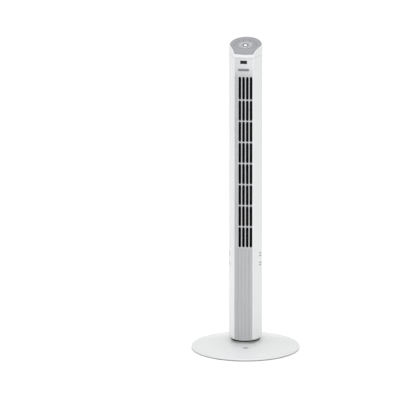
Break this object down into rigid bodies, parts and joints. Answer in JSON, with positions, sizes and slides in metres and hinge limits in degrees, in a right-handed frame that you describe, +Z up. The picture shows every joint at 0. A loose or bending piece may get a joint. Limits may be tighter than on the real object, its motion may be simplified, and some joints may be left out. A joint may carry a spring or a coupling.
{
  "type": "tower fan",
  "caption": "Slim tower fan: a column with a slotted front grille and a sloping key panel, turning on a round domed base.",
  "frame": {"origin": "on the floor, at the centre of the base, under the column's axis", "axes": "+Z up along the column, -Y towards the front, +X to the right of someone who looks at the front"},
  "size_m": [0.342, 0.342, 1],
  "materials": {
    "white_abs": "white moulded ABS, satin gloss",
    "silver_paint": "silver-grey painted ABS",
    "grey_panel": "mid-grey satin plastic",
    "key_grey": "light grey satin plastic",
    "gloss_black": "glossy black acrylic",
    "black_plastic": "black moulded plastic",
    "rubber": "black rubber",
    "steel": "zinc-plated steel",
    "cast_metal": "die-cast and pressed motor shells",
    "acetal": "natural acetal",
    "board_green": "printed circuit board with its parts",
    "bronze": "sintered bronze"
  },
  "bodies": {
    "base": {"base_cover": "white_abs", "base_plate": "black_plastic", "ballast_ring": "steel", "rubber_foot_1": "rubber", "rubber_foot_2": "rubber", "rubber_foot_3": "rubber", "rubber_foot_4": "rubber", "rubber_foot_5": "rubber", "rubber_foot_6": "rubber", "base_screw_1": "steel", "base_screw_2": "steel", "base_screw_3": "steel", "base_badge": "grey_panel", "pivot_spindle": "steel", "swivel_gear": "acetal", "bearing_ring": "acetal", "retaining_nut": "steel"},
    "column": {"turntable": "black_plastic", "foot_plate": "black_plastic", "swing_motor": "cast_metal", "front_housing": "white_abs", "rear_housing": "white_abs", "housing_screw_1": "steel", "housing_screw_2": "steel", "housing_screw_3": "steel", "housing_screw_4": "steel", "front_grille": "silver_paint", "lower_panel": "silver_paint", "display_window": "gloss_black", "name_plate": "grey_panel", "top_cap": "white_abs", "control_panel": "grey_panel", "control_board": "board_green", "scroll_wall": "black_plastic", "cutoff_wall": "black_plastic", "motor_plate": "black_plastic", "bearing_plate": "black_plastic", "bearing_bush": "bronze", "motor_bell_lower": "cast_metal", "motor_bell_upper": "cast_metal", "motor_stator": "steel", "rubber_mount_1": "rubber", "rubber_mount_2": "rubber", "rubber_mount_3": "rubber", "power_board": "board_green", "cord_gland": "rubber"},
    "impeller": {"impeller": "black_plastic", "motor_rotor": "steel"},
    "swing_pinion": {"swing_pinion": "acetal"},
    "power_button": {"power_button": "white_abs"},
    "key_1": {"key_1": "key_grey"},
    "key_2": {"key_2": "key_grey"},
    "key_3": {"key_3": "key_grey"},
    "key_4": {"key_4": "key_grey"},
    "key_5": {"key_5": "key_grey"},
    "key_6": {"key_6": "key_grey"}
  },
  "joints": [
    {"name": "oscillation", "type": "hinge", "parent": "base", "child": "column", "pos_m": [0, 0, 0.04], "axis": [0, 0, 1], "range_deg": [-40, 40]},
    {"name": "pinion_spin", "type": "hinge", "parent": "column", "child": "swing_pinion", "pos_m": [0, 0.02895, 0.035], "axis": [0, 0, 1], "range_deg": [-110, 110]},
    {"name": "impeller_spin", "type": "hinge", "parent": "column", "child": "impeller", "pos_m": [0, 0.006, 0.6], "axis": [0, 0, 1], "continuous": true},
    {"name": "power_press", "type": "slide", "parent": "column", "child": "power_button", "axis": [0, 0.2487, -0.9686], "range_m": [0, 0.001], "stiffness_N_per_m": 300, "springref_m": -0.0015},
    {"name": "key_1_press", "type": "slide", "parent": "column", "child": "key_1", "axis": [0, 0.2487, -0.9686], "range_m": [0, 0.001], "stiffness_N_per_m": 300, "springref_m": -0.0015},
    {"name": "key_2_press", "type": "slide", "parent": "column", "child": "key_2", "axis": [0, 0.2487, -0.9686], "range_m": [0, 0.001], "stiffness_N_per_m": 300, "springref_m": -0.0015},
    {"name": "key_3_press", "type": "slide", "parent": "column", "child": "key_3", "axis": [0, 0.2487, -0.9686], "range_m": [0, 0.001], "stiffness_N_per_m": 300, "springref_m": -0.0015},
    {"name": "key_4_press", "type": "slide", "parent": "column", "child": "key_4", "axis": [0, 0.2487, -0.9686], "range_m": [0, 0.001], "stiffness_N_per_m": 300, "springref_m": -0.0015},
    {"name": "key_5_press", "type": "slide", "parent": "column", "child": "key_5", "axis": [0, 0.2487, -0.9686], "range_m": [0, 0.001], "stiffness_N_per_m": 300, "springref_m": -0.0015},
    {"name": "key_6_press", "type": "slide", "parent": "column", "child": "key_6", "axis": [0, 0.2487, -0.9686], "range_m": [0, 0.001], "stiffness_N_per_m": 300, "springref_m": -0.0015}
  ],
  "couplings": [
    {"joint": "pinion_spin", "follows": "oscillation", "ratio": 2.6}
  ]
}
